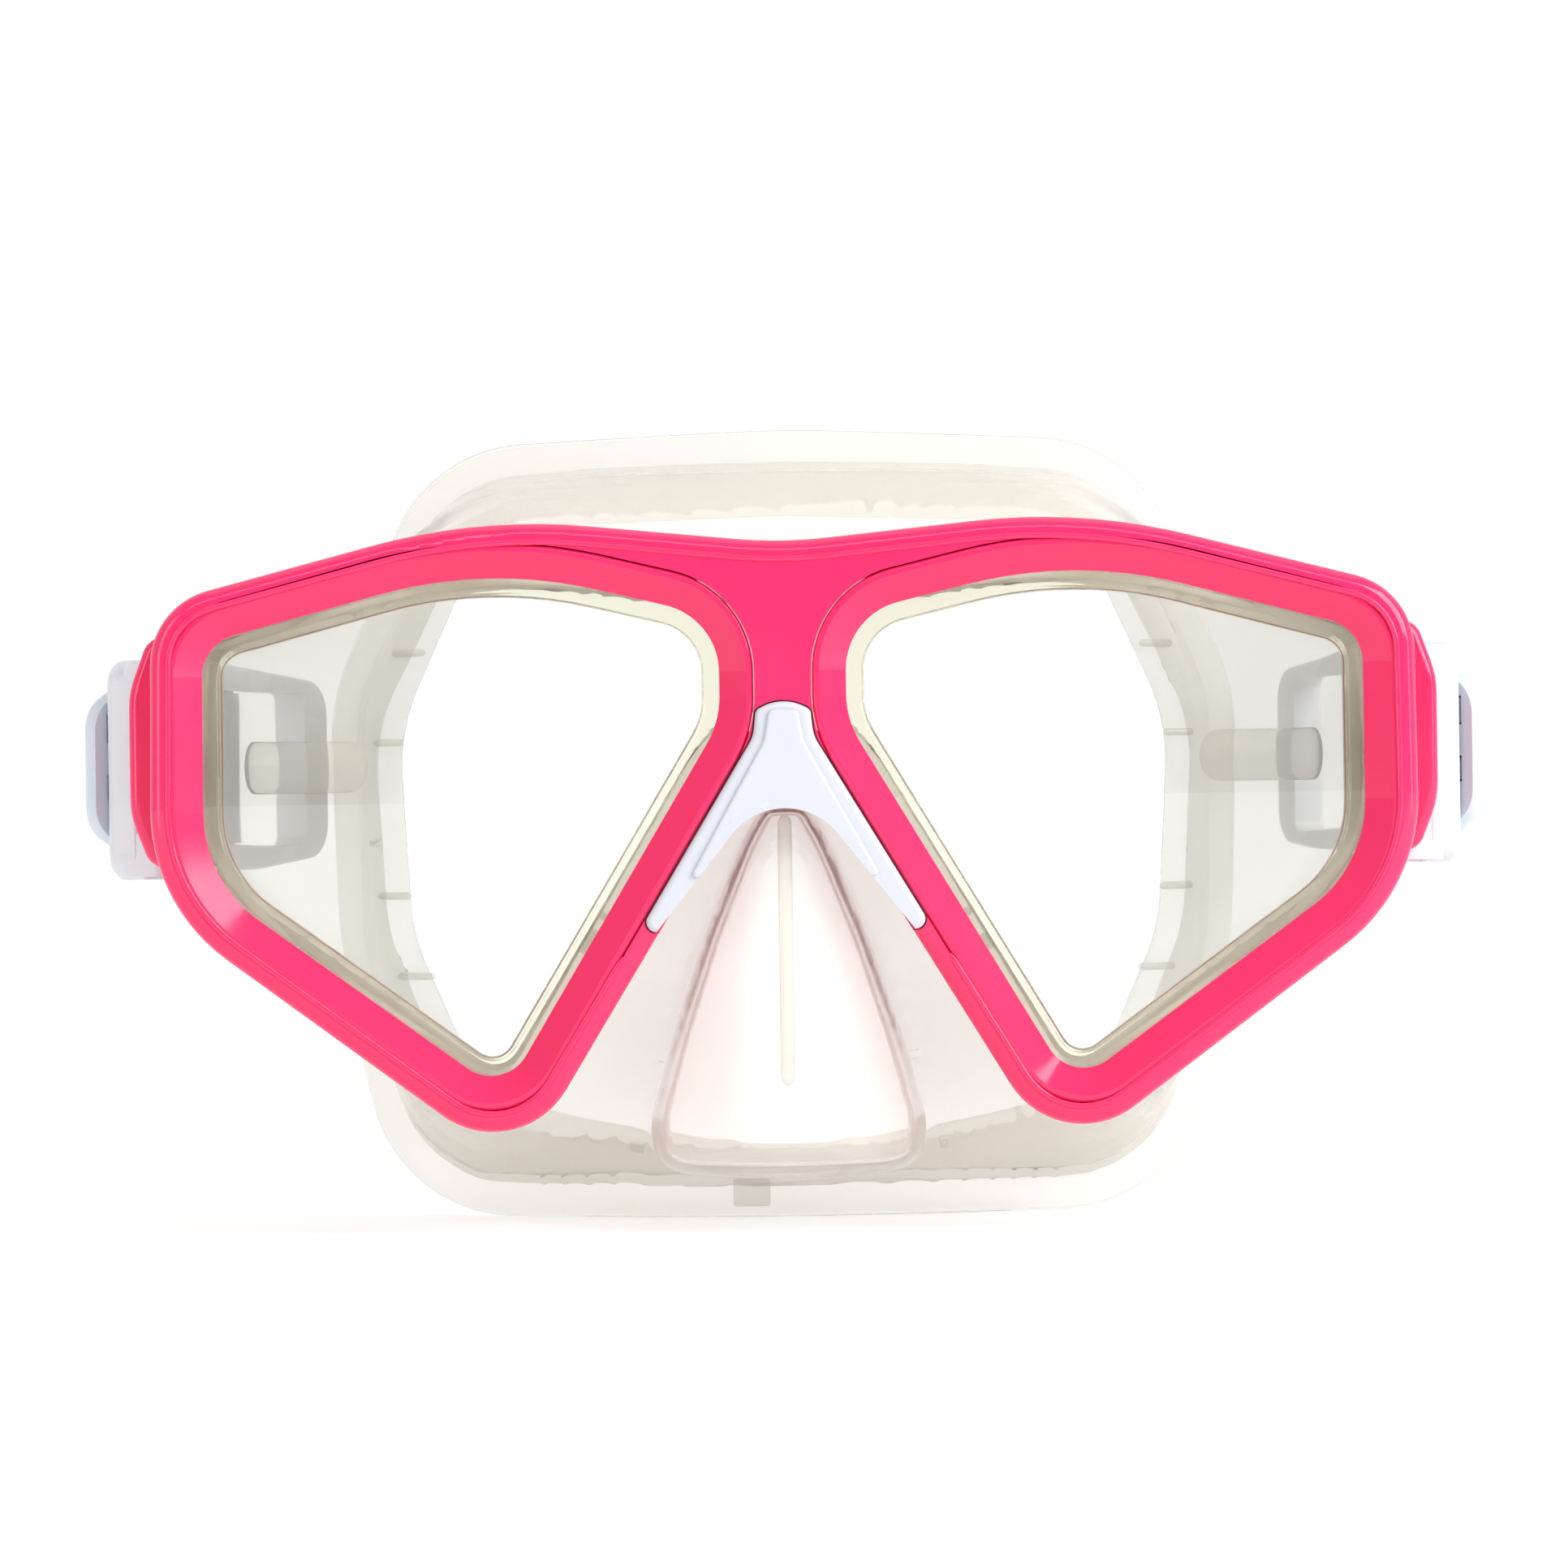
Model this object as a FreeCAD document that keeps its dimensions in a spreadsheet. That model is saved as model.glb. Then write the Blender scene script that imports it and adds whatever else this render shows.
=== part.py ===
import FreeCAD, Part
import Sketcher
import math
import os
from FreeCAD import Placement, Rotation, Vector

# Two-window diving mask with a soft skirt, an upright nose clip and two swinging strap buckles.
# Millimetres. +Z is up, the wearer looks along -Y, the front of the glass lies in the plane y = 0
# and eye height is z = 0 while the pieces are drawn. The last step moves the whole mask so that
# the origin is the middle of the foot of its bounding box.

SIZES = {
    # overall
    "half_width": 82.0,
    "top_height": 35.1,
    "low_depth": 49.5,
    # frame in the depth direction
    "rim_front": 4.0,
    "rim_back": "=lens_thickness + flange",
    "rim_round": 1.9,
    "rear_frame_start": "=rim_back + 0.1",
    "rear_frame_end": "=rear_frame_start + 4.4",
    "rear_frame_width": 5.5,
    # lenses and their seats
    "lens_thickness": 4.0,
    "lens_cover": 1.2,
    "seat_wall": 1.5,
    "seat_band": 2.4,
    "bezel_width": 4.4,
    "bezel_front": 3.8,
    "bezel_lip": 0.9,
    "seam": 0.12,
    # skirt
    "wall": 1.9,
    "flange": 2.0,
    "skirt_inset": 6.2,
    "skirt_top": "=top_height + 12.3",
    "skirt_bottom": "=low_depth + 8.1",
    "temple_half_width": "=half_width - 24.5",
    "skirt_back": "=face_depth + 23",
    "face_depth": 44.0,
    "face_radius": 106.0,
    "lip_thickness": 1.5,
    "lip_overhang": 3.6,
    "nose_half_width": 18.2,
    "nose_bottom": "=low_depth + 1.5",
    # nose clip
    "clip_front": 4.8,
    "clip_thickness": 3.15,
    "clip_recess": 2.5,
    # buckles
    "hinge_x": "=half_width - 0.4",
    "hinge_y": "=rear_frame_start + 8.9",
    "hinge_radius": 1.5,
    "hinge_fit": 0.06,
    "barrel_radius": "=hinge_radius + 1.8",
    "barrel_low": -5.0,
    "barrel_high": 11.0,
    "buckle_low": -11.5,
    "buckle_high": 17.5,
    "buckle_length": 47.5,
    "plate_inner": 2.0,
    "plate_thickness": 4.8,
    "strap_width": 21.0,
    "slot_start": 13.0,
    "slot_end": "=buckle_length - 6.5",
    "roller_at": "=slot_start + 9",
    "roller_radius": "=roller_pin_radius + 0.9",
    "roller_pin_radius": 1.0,
    "roller_fit": 0.06,
    "lever_gap": 0.3,
    "lever_thickness": 3.7,
    "lever_length": 27.0,
    "lever_pin_radius": 0.6,
    "lever_fit": 0.05,
    "left_rest_angle": 26.0,
    "right_rest_angle": 19.0,
}

doc = FreeCAD.newDocument("diving_mask")
sheet = doc.addObject("Spreadsheet::Sheet", "sizes")
for row, (alias, number) in enumerate(SIZES.items(), start=1):
    sheet.set("A%d" % row, alias)
    sheet.setAlias("B%d" % row, alias)
for row, number in enumerate(SIZES.values(), start=1):
    sheet.set("B%d" % row, str(number))
doc.recompute()


def size(alias):
    return float(sheet.get(alias))


# ---------------------------------------------------------------- outlines
# An outline is a closed list of corners (across, up, radius). Corners run clockwise.

def turn(before, corner, after):
    first = (corner[0] - before[0], corner[1] - before[1])
    second = (after[0] - corner[0], after[1] - corner[1])
    return first[0] * second[1] - first[1] * second[0]


def grown(corners, amount):
    """The same outline moved outwards by amount; corner radii follow."""
    count = len(corners)
    lines = []
    for index in range(count):
        start = corners[index]
        end = corners[(index + 1) % count]
        length = math.hypot(end[0] - start[0], end[1] - start[1])
        across = -(end[1] - start[1]) / length
        along = (end[0] - start[0]) / length
        lines.append((across, along, across * start[0] + along * start[1] + amount))
    result = []
    for index in range(count):
        one = lines[index - 1]
        two = lines[index]
        spread = one[0] * two[1] - one[1] * two[0]
        x = (one[2] * two[1] - one[1] * two[2]) / spread
        z = (one[0] * two[2] - one[2] * two[0]) / spread
        bend = turn(corners[index - 1], corners[index], corners[(index + 1) % count])
        radius = corners[index][2] + (amount if bend < 0 else -amount)
        result.append((x, z, max(radius, 0.3)))
    return result


def flipped(corners):
    """The outline on the other side of the middle plane, still clockwise."""
    return [(-x, z, radius) for x, z, radius in reversed(corners)]


def both_sides(half):
    """A whole outline from its right half; corners at x = 0 are used once."""
    left = [(-x, z, radius) for x, z, radius in reversed(half) if x > 0]
    return half + left


def edges_of(corners):
    """Straight edges joined by true arcs."""
    count = len(corners)
    arcs = []
    for index in range(count):
        here = Vector(corners[index][0], corners[index][1], 0)
        before = Vector(corners[index - 1][0], corners[index - 1][1], 0)
        after = Vector(corners[(index + 1) % count][0], corners[(index + 1) % count][1], 0)
        radius = corners[index][2]
        back = (before - here).normalize()
        ahead = (after - here).normalize()
        half_angle = back.getAngle(ahead) / 2
        reach = radius / math.tan(half_angle)
        centre = here + (back + ahead).normalize() * (radius / math.sin(half_angle))
        start = here + back * reach
        end = here + ahead * reach
        arcs.append((start, end, centre, radius, turn(before, here, after) > 0))
    edges = []
    for index, (start, end, centre, radius, left_turn) in enumerate(arcs):
        first, last = (start, end) if left_turn else (end, start)
        angle_one = math.atan2(first.y - centre.y, first.x - centre.x)
        angle_two = math.atan2(last.y - centre.y, last.x - centre.x)
        if angle_two < angle_one:
            angle_two += 2 * math.pi
        circle = Part.Circle(centre, Vector(0, 0, 1), radius)
        edges.append(Part.ArcOfCircle(circle, angle_one, angle_two))
        following = arcs[(index + 1) % count][0]
        if (following - end).Length > 0.001:
            edges.append(Part.LineSegment(end, following))
    return edges


def frame_outline():
    half = size("half_width")
    top = size("top_height")
    low = size("low_depth")
    return both_sides([
        (0.0, top - 3.9, 60.0),
        (half * 0.476, top, 80.0),
        (half - 0.4, top - 11.0, 10.0),
        (half + 0.1, -14.5, 24.0),
        (half * 0.427, -low, 11.0),
        (0.0, 7.85, 6.4),
    ])


def window_outline(side):
    half = size("half_width")
    top = size("top_height")
    low = size("low_depth")
    corners = [
        (8.2, top - 13.4, 9.0),
        (half * 0.465, top - 6.2, 57.0),
        (half - 6.9, top - 16.0, 5.6),
        (half - 6.8, -11.6, 17.0),
        (half * 0.449, 9.9 - low, 5.2),
        (8.2, 8.2, 12.0),
    ]
    return corners if side > 0 else flipped(corners)


# ---------------------------------------------------------------- features

def origin_plane(body, role):
    return next(item for item in body.Origin.OriginFeatures if item.Role == role)


def new_body(label):
    body = doc.addObject("PartDesign::Body", label)
    body.Label = label
    return body


def sketch_in(body, name, role, distance, outlines):
    """A sketch on one of the body's own planes, moved along +X, +Y or +Z by distance."""
    sketch = body.newObject("Sketcher::SketchObject", name)
    sketch.AttachmentSupport = [(origin_plane(body, role), "")]
    sketch.MapMode = "FlatFace"
    sign = "-" if role == "XZ_Plane" else ""
    sketch.setExpression("AttachmentOffset.Base.z", "%s(%s)" % (sign, distance))
    for corners in outlines:
        for edge in edges_of(corners):
            sketch.addGeometry(edge, False)
    return sketch


def circle_in(body, name, role, distance, across, up, radius):
    """A circle whose radius follows the size table."""
    sketch = sketch_in(body, name, role, distance, [])
    circle = Part.Circle(Vector(across, up, 0), Vector(0, 0, 1), 1.0)
    index = sketch.addGeometry(circle, False)
    limit = sketch.addConstraint(Sketcher.Constraint("Radius", index, 1.0))
    sketch.setExpression("Constraints[%d]" % limit, radius)
    return sketch


def pad(body, sketch, name, length, reverse=False):
    feature = body.newObject("PartDesign::Pad", name)
    feature.Profile = sketch
    feature.Reversed = reverse
    feature.setExpression("Length", length)
    doc.recompute()
    return feature


def pocket(body, sketch, name, length, reverse=False):
    before = body.Shape.Volume
    feature = body.newObject("PartDesign::Pocket", name)
    feature.Profile = sketch
    feature.Reversed = reverse
    feature.setExpression("Length", length)
    doc.recompute()
    if body.Shape.Volume > before - 0.01:
        raise RuntimeError("%s removes nothing" % name)
    return feature


def edge_names(shape, wanted):
    names = []
    for number, edge in enumerate(shape.Edges, start=1):
        box = edge.BoundBox
        if wanted(box):
            names.append("Edge%d" % number)
    return names


def rounded(body, name, radius, wanted, kind="Fillet"):
    tip = body.Tip
    feature = body.newObject("PartDesign::" + kind, name)
    feature.Base = (tip, edge_names(tip.Shape, wanted))
    if kind == "Fillet":
        feature.Radius = radius
    else:
        feature.Size = radius
    doc.recompute()
    return feature


def at_plane(axis, place):
    low = axis + "Min"
    high = axis + "Max"

    def wanted(box):
        return abs(getattr(box, low) - place) < 0.01 and abs(getattr(box, high) - place) < 0.01
    return wanted


def box_outline(left, right, low, high, radius=0.3):
    return [(left, high, radius), (right, high, radius), (right, low, radius), (left, low, radius)]



parts = []

# ---------------------------------------------------------------- front frame

front = new_body("front_frame")
outline = sketch_in(front, "rim_outline", "XZ_Plane", "-sizes.rim_front", [frame_outline()])
pad(front, outline, "rim_block", "sizes.rim_front + sizes.rim_back", True)
rounded(front, "rim_rounding", size("rim_round"), at_plane("Y", -size("rim_front")))
rounded(front, "rim_back_rounding", 0.5, at_plane("Y", size("rim_back")))
bore_grow = size("bezel_width") + size("seam")
bores = [grown(window_outline(side), bore_grow) for side in (1, -1)]
bore_sketch = sketch_in(front, "bezel_bores", "XZ_Plane", "-sizes.rim_front", bores)
pocket(front, bore_sketch, "bezel_bore_cut", "sizes.rim_front + sizes.rim_back")
flange_room = sketch_in(front, "flange_room", "XZ_Plane", "sizes.lens_thickness - 0.05",
                        [grown(frame_outline(), -1.9)])
pocket(front, flange_room, "flange_room_cut", "sizes.rim_back")


def clip_outline(amount):
    corners = both_sides([
        (0.0, 11.4, 6.0),
        (3.55, 9.6, 1.0),
        (3.9, 6.2, 5.0),
        (19.0, -18.9, 1.3),
    ])
    return grown(corners, amount) if amount else corners


recess = sketch_in(front, "clip_recess", "XZ_Plane", "-sizes.rim_front", [clip_outline(0.2)])
pocket(front, recess, "clip_recess_cut", "sizes.clip_recess")
parts.append(front)

# ---------------------------------------------------------------- rear frame with buckle lugs

rear = new_body("rear_frame")
rear_sketch = sketch_in(rear, "rear_outline", "XZ_Plane", "sizes.rear_frame_start",
                        [grown(frame_outline(), -0.3)])
pad(rear, rear_sketch, "rear_block", "sizes.rear_frame_end - sizes.rear_frame_start", True)
rounded(rear, "rear_rounding", 1.2, at_plane("Y", size("rear_frame_end")))
inner = sketch_in(rear, "rear_opening", "XZ_Plane", "sizes.rear_frame_start",
                  [grown(frame_outline(), -0.3 - size("rear_frame_width"))])
pocket(rear, inner, "rear_opening_cut", "sizes.rear_frame_end")
barrel_low = size("barrel_low")
barrel_high = size("barrel_high")
hinge_x = size("hinge_x")
hinge_y = size("hinge_y")
for side, word in ((1, "right"), (-1, "left")):
    lug = [
        (size("half_width") - 5.0, barrel_high + 8.5, 1.5),
        (size("half_width") + 0.4, barrel_high + 10.0, 3.0),
        (size("half_width") + 3.3, barrel_high + 2.0, 12.0),
        (size("half_width") + 3.3, barrel_low + 2.0, 12.0),
        (size("half_width") + 0.4, barrel_low - 5.5, 3.0),
        (size("half_width") - 5.0, barrel_low - 4.0, 1.5),
    ]
    if side < 0:
        lug = flipped(lug)
    lug_sketch = sketch_in(rear, word + "_lug", "XZ_Plane", "sizes.rear_frame_start", [lug])
    pad(rear, lug_sketch, word + "_lug_pad", "3.8", True)
    arm = box_outline(size("half_width") - 4.5, hinge_x + 0.6, hinge_y - 7.0, hinge_y, 0.4)
    if side < 0:
        arm = flipped(arm)
    arm_sketch = sketch_in(rear, word + "_arm", "XY_Plane", "sizes.barrel_low", [arm])
    pad(rear, arm_sketch, word + "_arm_pad", "sizes.barrel_high - sizes.barrel_low")
    barrel = circle_in(rear, word + "_barrel", "XY_Plane", "sizes.barrel_low",
                       side * hinge_x, hinge_y, "sizes.barrel_radius")
    pad(rear, barrel, word + "_barrel_pad", "sizes.barrel_high - sizes.barrel_low")
    bore = circle_in(rear, word + "_barrel_bore", "XY_Plane", "sizes.barrel_low",
                     side * hinge_x, hinge_y, "sizes.hinge_radius + 0.01")
    pocket(rear, bore, word + "_barrel_bore_cut", "sizes.barrel_high - sizes.barrel_low", True)
rounded(rear, "lug_rounding", 1.3,
        lambda box: abs(box.YMin - size("rear_frame_start")) < 0.01
        and abs(box.YMax - size("rear_frame_start")) < 0.01
        and max(abs(box.XMin), abs(box.XMax)) > size("half_width") + 0.5)
parts.append(rear)

# ---------------------------------------------------------------- bezels and lenses

for side, word in ((1, "right"), (-1, "left")):
    window = window_outline(side)
    bezel = new_body(word + "_lens_bezel")
    block = sketch_in(bezel, "bezel_outline", "XZ_Plane", "-sizes.bezel_front",
                      [grown(window, size("bezel_width"))])
    pad(bezel, block, "bezel_block", "sizes.bezel_front + sizes.lens_thickness - 0.1", True)
    rounded(bezel, "bezel_rounding", 0.5, at_plane("Y", -size("bezel_front")))
    seat = sketch_in(bezel, "seat_room", "XZ_Plane", "-0.05",
                     [grown(window, size("lens_cover") + size("seat_wall") + 0.1)])
    pocket(bezel, seat, "seat_room_cut", "sizes.lens_thickness")
    funnel_front = sketch_in(bezel, "funnel_front", "XZ_Plane", "-sizes.bezel_front - 0.001",
                             [grown(window, size("bezel_width") - 0.9)])
    funnel_back = sketch_in(bezel, "funnel_back", "XZ_Plane", "-sizes.bezel_lip", [window])
    funnel = bezel.newObject("PartDesign::SubtractiveLoft", "funnel")
    funnel.Profile = funnel_front
    funnel.Sections = [funnel_back]
    funnel.Ruled = True
    doc.recompute()
    through = sketch_in(bezel, "window", "XZ_Plane", "-sizes.bezel_lip - 0.3", [window])
    pocket(bezel, through, "window_cut", "sizes.bezel_lip + 1")
    parts.append(bezel)

    lens = new_body(word + "_lens")
    glass = sketch_in(lens, "glass_outline", "XZ_Plane", "0",
                      [grown(window, size("lens_cover"))])
    pad(lens, glass, "glass", "sizes.lens_thickness", True)
    rounded(lens, "front_bevel", 0.4, at_plane("Y", 0.0), "Chamfer")
    rounded(lens, "back_bevel", 0.4, at_plane("Y", size("lens_thickness")), "Chamfer")
    parts.append(lens)

# ---------------------------------------------------------------- nose clip

clip = new_body("nose_bridge_clip")
clip_sketch = sketch_in(clip, "clip_outline", "XZ_Plane", "-sizes.clip_front", [clip_outline(0)])
pad(clip, clip_sketch, "clip_block", "sizes.clip_thickness", True)
rounded(clip, "clip_rounding", 0.8, at_plane("Y", -size("clip_front")))
band = both_sides([(1.9, 9.7, 0.8), (2.6, 5.6, 3.0), (12.4, -12.0, 0.6)])
band_sketch = sketch_in(clip, "band", "XZ_Plane", "-sizes.clip_front - 0.5", [band])
pad(clip, band_sketch, "band_pad", "sizes.clip_thickness - 0.5", True)
rounded(clip, "band_rounding", 0.45, at_plane("Y", -size("clip_front") - 0.5))
arch = both_sides([(0.0, 2.2, 8.7), (17.9, -20.4, 0.5)])
arch_sketch = sketch_in(clip, "arch", "XZ_Plane", "-sizes.clip_front - 1", [arch])
pocket(clip, arch_sketch, "arch_cut", "sizes.clip_thickness + 2")
parts.append(clip)

# ---------------------------------------------------------------- skirt

def free_sketch(name, role, distance, outlines):
    """A sketch that stands in the document, in an upright or a level plane."""
    sketch = doc.addObject("Sketcher::SketchObject", name)
    upright = role == "upright"
    turned = Rotation(Vector(1, 0, 0), 90) if upright else Rotation()
    sketch.Placement = Placement(Vector(0, 0, 0), turned)
    sketch.setExpression("Placement.Base." + ("y" if upright else "z"), distance)
    for corners in outlines:
        for edge in edges_of(corners):
            sketch.addGeometry(edge, False)
    return sketch


def extruded(name, sketch, length, direction=(0, 1, 0)):
    feature = doc.addObject("Part::Extrusion", name)
    feature.Base = sketch
    feature.DirMode = "Custom"
    feature.Dir = Vector(*direction)
    feature.Solid = True
    feature.setExpression("LengthFwd", length)
    return feature


def lofted(name, sections, ruled):
    feature = doc.addObject("Part::Loft", name)
    feature.Sections = sections
    feature.Solid = True
    feature.Ruled = ruled
    return feature


def joined(name, shapes):
    feature = doc.addObject("Part::MultiFuse", name)
    feature.Shapes = shapes
    return feature


def cut(name, base, tool):
    feature = doc.addObject("Part::Cut", name)
    feature.Base = base
    feature.Tool = tool
    return feature


def seal_outline():
    """The outer edge of the lip that lies on the face, seen from the front."""
    top = size("skirt_top")
    low = size("skirt_bottom")
    temple = size("temple_half_width")
    return both_sides([
        (0.0, top + 0.5, 200.0),
        (temple - 13.5, top - 1.4, 18.0),
        (temple + 4.6, 12.0, 30.0),
        (temple + 3.6, -24.0, 50.0),
        (temple - 7.5, -low - 0.3, 13.0),
        (0.0, -low - 0.8, 200.0),
    ])


def skirt_sections(amount):
    """Outlines of the skirt wall from the frame to the face, moved inwards by amount."""
    top = size("skirt_top")
    low = size("skirt_bottom")
    temple = size("temple_half_width")
    neck = grown(frame_outline(), -size("skirt_inset"))
    middle = both_sides([
        (0.0, top - 10.4, 90.0),
        (43.0, top - 9.4, 30.0),
        (temple + 13.0, 17.0, 18.0),
        (temple + 12.2, -17.0, 30.0),
        (42.0, 8.0 - low, 14.0),
        (0.0, 27.6 - low, 26.0),
    ])
    near = both_sides([
        (0.0, top - 2.8, 150.0),
        (43.0, top - 4.0, 18.0),
        (temple + 6.2, 16.0, 22.0),
        (temple + 5.4, -18.0, 32.0),
        (48.0, 3.2 - low, 14.0),
        (0.0, 4.6 - low, 90.0),
    ])
    root = grown(seal_outline(), -size("lip_overhang"))
    return [grown(item, -amount) if amount else item for item in (neck, neck, middle, near, root)]


def skirt_tube(name, amount, start):
    places = [start, "sizes.rear_frame_end + 0.4", "28", "46", "sizes.skirt_back"]
    sketches = []
    for index, (corners, place) in enumerate(zip(skirt_sections(amount), places)):
        sketches.append(free_sketch("%s_section_%d" % (name, index + 1), "upright", place, [corners]))
    return lofted(name, sketches, True)


def nose_shape(name, amount):
    widest = size("nose_half_width") - amount
    low = size("nose_bottom") - amount
    rows = [
        ("-4.5 - %g" % amount, 4.4 - amount * 0.6, 1.5 + amount, 27.0),
        ("-22", 11.2 - amount, -0.6 + amount, 33.0),
        ("-40", widest - 1.0, -2.6 + amount, 38.0),
        ("%g" % (3.0 - low), widest, -1.2 + amount, 40.0),
        ("%g" % -low, widest - 3.0, 3.0 + amount, 40.0),
    ]
    sketches = []
    for index, (place, half, front_y, back_y) in enumerate(rows):
        corners = [
            (-half, back_y, 0.6),
            (half, back_y, 0.6),
            (half, front_y + half * 0.6, half * 0.3),
            (half * 0.5, front_y, half * 0.4),
            (-half * 0.5, front_y, half * 0.4),
            (-half, front_y + half * 0.6, half * 0.3),
        ]
        sketches.append(free_sketch("%s_%d" % (name, index + 1), "level", place, [corners]))
    return lofted(name, sketches, True)


def face_cylinder(name, extra):
    face = doc.addObject("Part::Cylinder", name)
    face.setExpression("Radius", "sizes.face_radius + %g" % extra)
    face.Height = 160
    face.setExpression("Placement.Base.y", "sizes.face_depth + sizes.face_radius")
    face.Placement.Base.z = -80
    return face


outer_tube = skirt_tube("outer_tube", 0.0, "sizes.lens_thickness")
inner_tube = skirt_tube("inner_tube", size("wall"), "sizes.lens_thickness + sizes.flange")
outer_nose = nose_shape("outer_nose", 0.0)
inner_nose = nose_shape("inner_nose", size("wall"))
flange_sketch = free_sketch("flange_outline", "upright", "sizes.lens_thickness",
                            [grown(frame_outline(), -2.0)])
flange = extruded("flange", flange_sketch, "sizes.flange")
rings = []
for side, word in ((1, "right"), (-1, "left")):
    ring = free_sketch(word + "_seat", "upright", "0.02",
                       [grown(window_outline(side), size("lens_cover") + size("seat_wall"))])
    rings.append(extruded(word + "_seat_block", ring, "sizes.lens_thickness + 0.5"))
outer_all = joined("skirt_outside", [outer_tube, outer_nose, flange] + rings)
outer_cut = cut("skirt_outside_trimmed", outer_all, face_cylinder("face", 0.0))
lip_sketch = free_sketch("lip_outline", "upright", "sizes.face_depth - 4", [seal_outline()])
lip_block = extruded("lip_block", lip_sketch, "sizes.skirt_back")
lip_shell = cut("lip_shell", face_cylinder("lip_back", size("lip_thickness")), face_cylinder("lip_face", 0.0))
lip = doc.addObject("Part::Common", "lip")
lip.Base = lip_block
lip.Tool = lip_shell
outer_skin = joined("skirt_with_lip", [outer_cut, lip])
inner_all = joined("skirt_inside", [inner_tube, inner_nose])
inner_cut = cut("skirt_inside_trimmed", inner_all, face_cylinder("face_inside", size("lip_thickness")))
mouth_outline = both_sides([
    (0.0, 36.4, 120.0),
    (40.0, 35.2, 16.0),
    (52.6, 8.0, 26.0),
    (51.0, -20.0, 24.0),
    (41.0, -42.5, 10.0),
    (0.0, -50.0, 60.0),
])
mouth_sketch = free_sketch("face_opening", "upright", "sizes.face_depth - 3", [mouth_outline])
mouth = extruded("face_opening_block", mouth_sketch, "sizes.skirt_back")
holes = [inner_cut, mouth]
for side, word in ((1, "right"), (-1, "left")):
    glass_room = free_sketch(word + "_glass_room", "upright", "-0.5",
                             [grown(window_outline(side), size("lens_cover") + 0.03)])
    holes.append(extruded(word + "_glass_room_block", glass_room, "sizes.lens_thickness + 0.5"))
    sight = free_sketch(word + "_sight", "upright", "0",
                        [grown(window_outline(side), -size("seat_band"))])
    holes.append(extruded(word + "_sight_block", sight, "12"))
all_holes = joined("skirt_hollows", holes)
skirt = cut("skirt", outer_skin, all_holes)
skirt.Label = "skirt"
doc.recompute()
parts.append(skirt)

# ---------------------------------------------------------------- buckles

plate_inner = size("plate_inner")
plate_outer = plate_inner + size("plate_thickness")
lever_inner = plate_outer + size("lever_gap")
lever_outer = lever_inner + size("lever_thickness")
lever_pin_w = lever_inner + 1.4
low = size("buckle_low")
high = size("buckle_high")
middle_z = (low + high) / 2
strap_low = middle_z - size("strap_width") / 2
strap_high = middle_z + size("strap_width") / 2
roller_w = plate_inner + 2.2
knuckle = size("barrel_radius")
tabs = [(6.9, 10.1), (-0.6, 2.2)]


def mirrored(side, corners):
    return corners if side > 0 else flipped(corners)


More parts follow.
